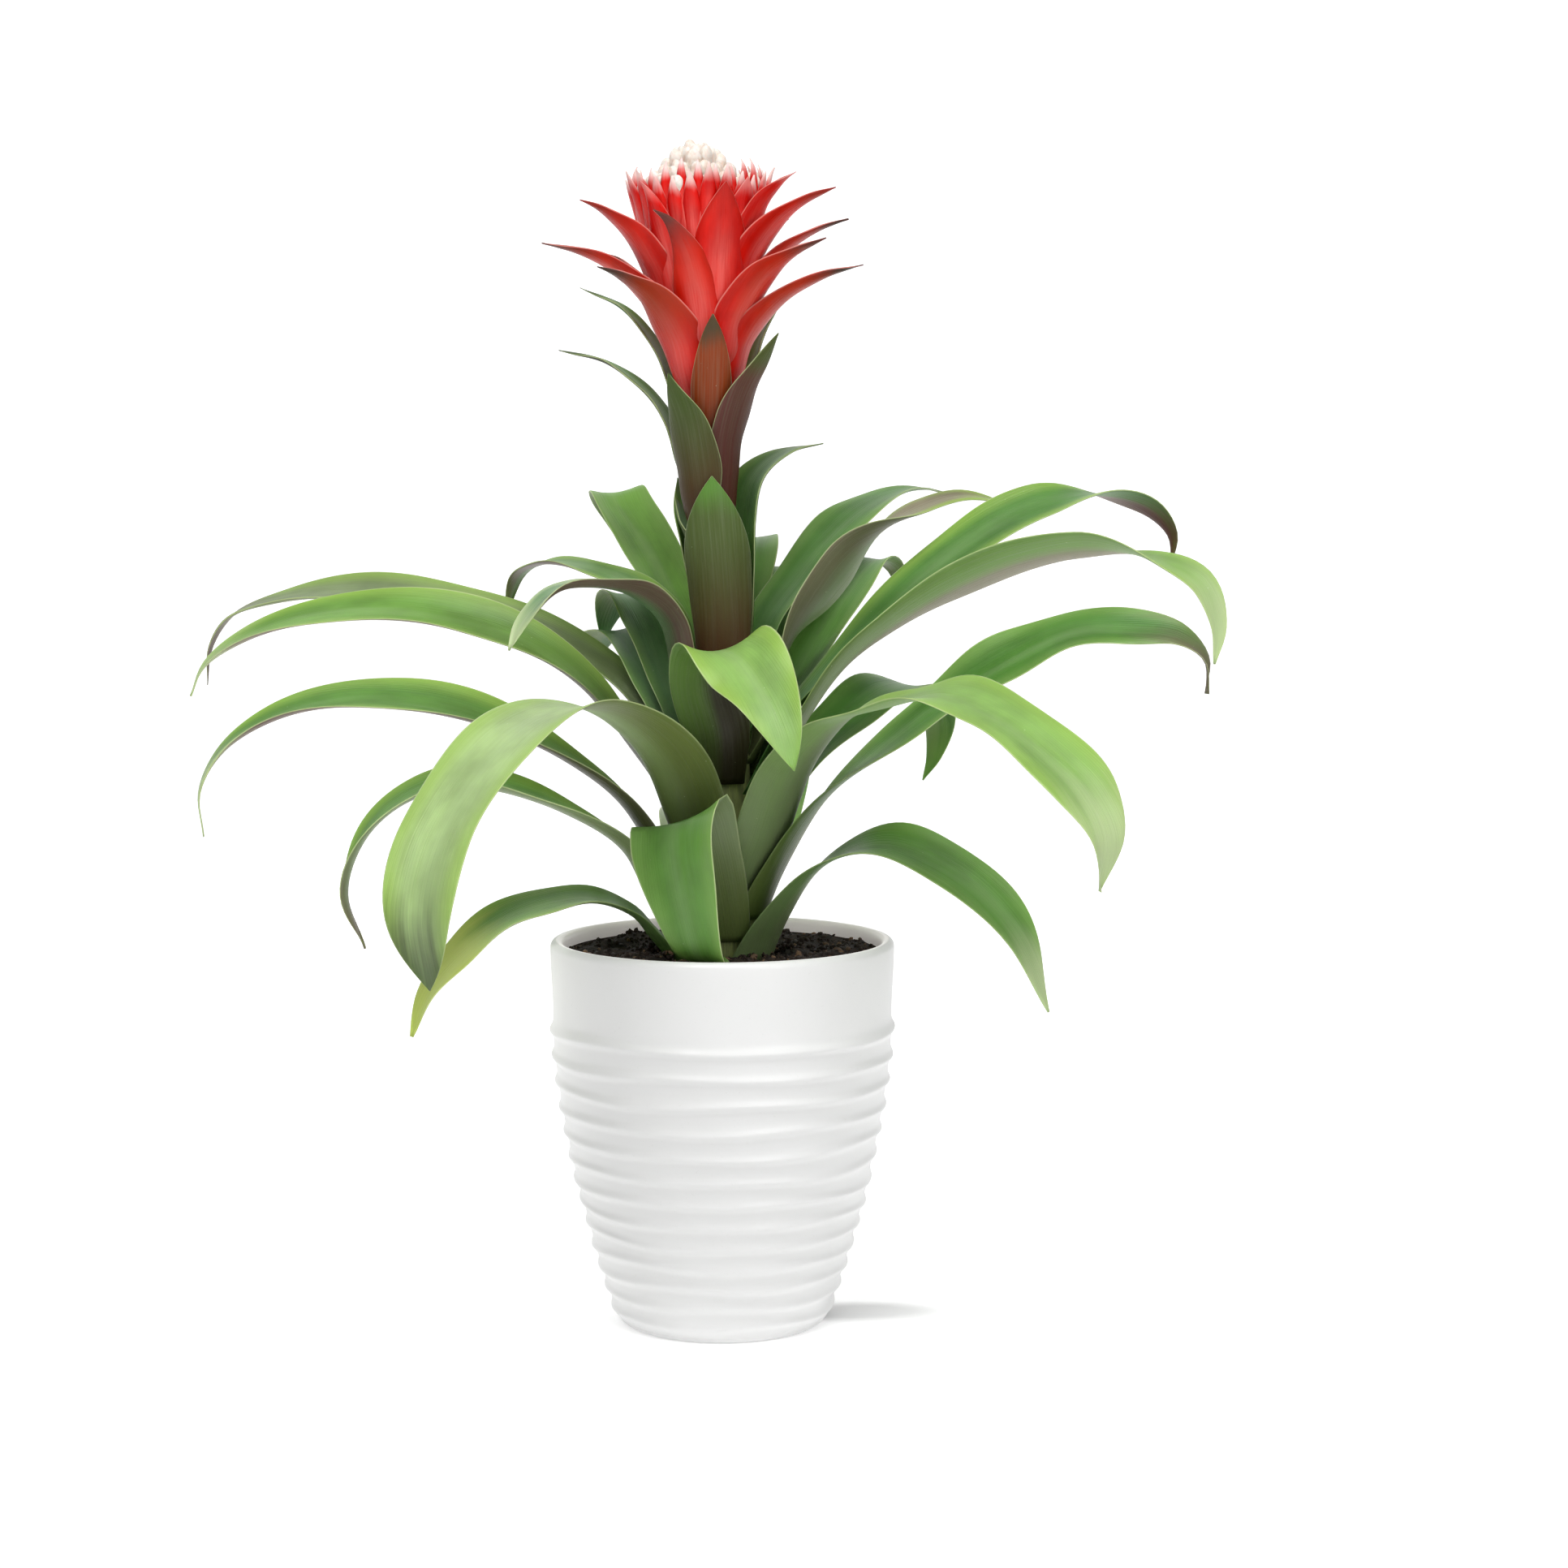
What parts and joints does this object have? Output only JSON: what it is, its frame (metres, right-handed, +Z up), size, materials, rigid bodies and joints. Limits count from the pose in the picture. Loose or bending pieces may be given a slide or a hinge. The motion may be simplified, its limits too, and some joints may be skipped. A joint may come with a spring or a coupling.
{
  "type": "potted bromeliad",
  "caption": "Bromeliad in bloom in a ribbed white ceramic pot: arching strap leaves, a stalk with upright leaves and a red bract head with white-tipped florets.",
  "frame": {"origin": "centre of the pot's flat base, where the pot stands", "axes": "+Z up along the pot's and the stem's axis; -Y faces the viewer of the picture, +X to the viewer's right"},
  "size_m": [0.3834, 0.3284, 0.4336],
  "materials": {
    "pot_glaze": "satin white glaze over stoneware",
    "potting_mix": "damp dark peat and bark, matt",
    "stem_tissue": "green stalk, satin",
    "leaf_tissue": "waxy strap leaf, soft satin sheen",
    "stalk_leaf_tissue": "green tips running to maroon at the foot, satin",
    "bract_tissue": "waxy red with a pink sheen and dark tips",
    "floret_tissue": "white-tipped buds, pink red at the foot"
  },
  "bodies": {
    "root": {"pot": "pot_glaze", "soil": "potting_mix", "stem": "stem_tissue", "leaf_left_low": "leaf_tissue", "leaf_right_low": "leaf_tissue", "leaf_back_low": "leaf_tissue", "leaf_left_lower": "leaf_tissue", "leaf_front_low": "leaf_tissue", "leaf_back_lower": "leaf_tissue", "leaf_right_mid": "leaf_tissue", "leaf_left_mid": "leaf_tissue", "leaf_front_right": "leaf_tissue", "leaf_right_back": "leaf_tissue", "leaf_front_left": "leaf_tissue", "leaf_back_mid": "leaf_tissue", "leaf_left_high": "leaf_tissue", "leaf_left_top": "leaf_tissue", "leaf_right_high": "leaf_tissue", "leaf_back_left_short": "leaf_tissue", "leaf_back_right_short": "leaf_tissue", "leaf_right_top": "leaf_tissue", "leaf_front_folded": "leaf_tissue", "leaf_back_left_dark": "leaf_tissue", "leaf_back_right_inner": "leaf_tissue", "leaf_right_inner": "leaf_tissue", "leaf_back_tall": "leaf_tissue", "leaf_back_left_tall": "leaf_tissue", "leaf_right_back_tall": "leaf_tissue", "leaf_left_inner_front": "leaf_tissue", "leaf_left_inner_back": "leaf_tissue", "stalk_leaf_front_tall": "stalk_leaf_tissue", "stalk_leaf_right": "stalk_leaf_tissue", "stalk_leaf_back_low": "stalk_leaf_tissue", "stalk_leaf_left_sliver": "stalk_leaf_tissue", "stalk_leaf_left_front": "stalk_leaf_tissue", "stalk_leaf_right_front": "stalk_leaf_tissue", "stalk_leaf_back_high": "stalk_leaf_tissue", "stalk_leaf_left_thin": "stalk_leaf_tissue", "stalk_leaf_right_thin": "stalk_leaf_tissue", "stalk_leaf_front_top": "stalk_leaf_tissue", "stalk_leaf_left_top": "stalk_leaf_tissue", "flower_head": "bract_tissue", "floret_cluster": "floret_tissue"}
  },
  "joints": []
}
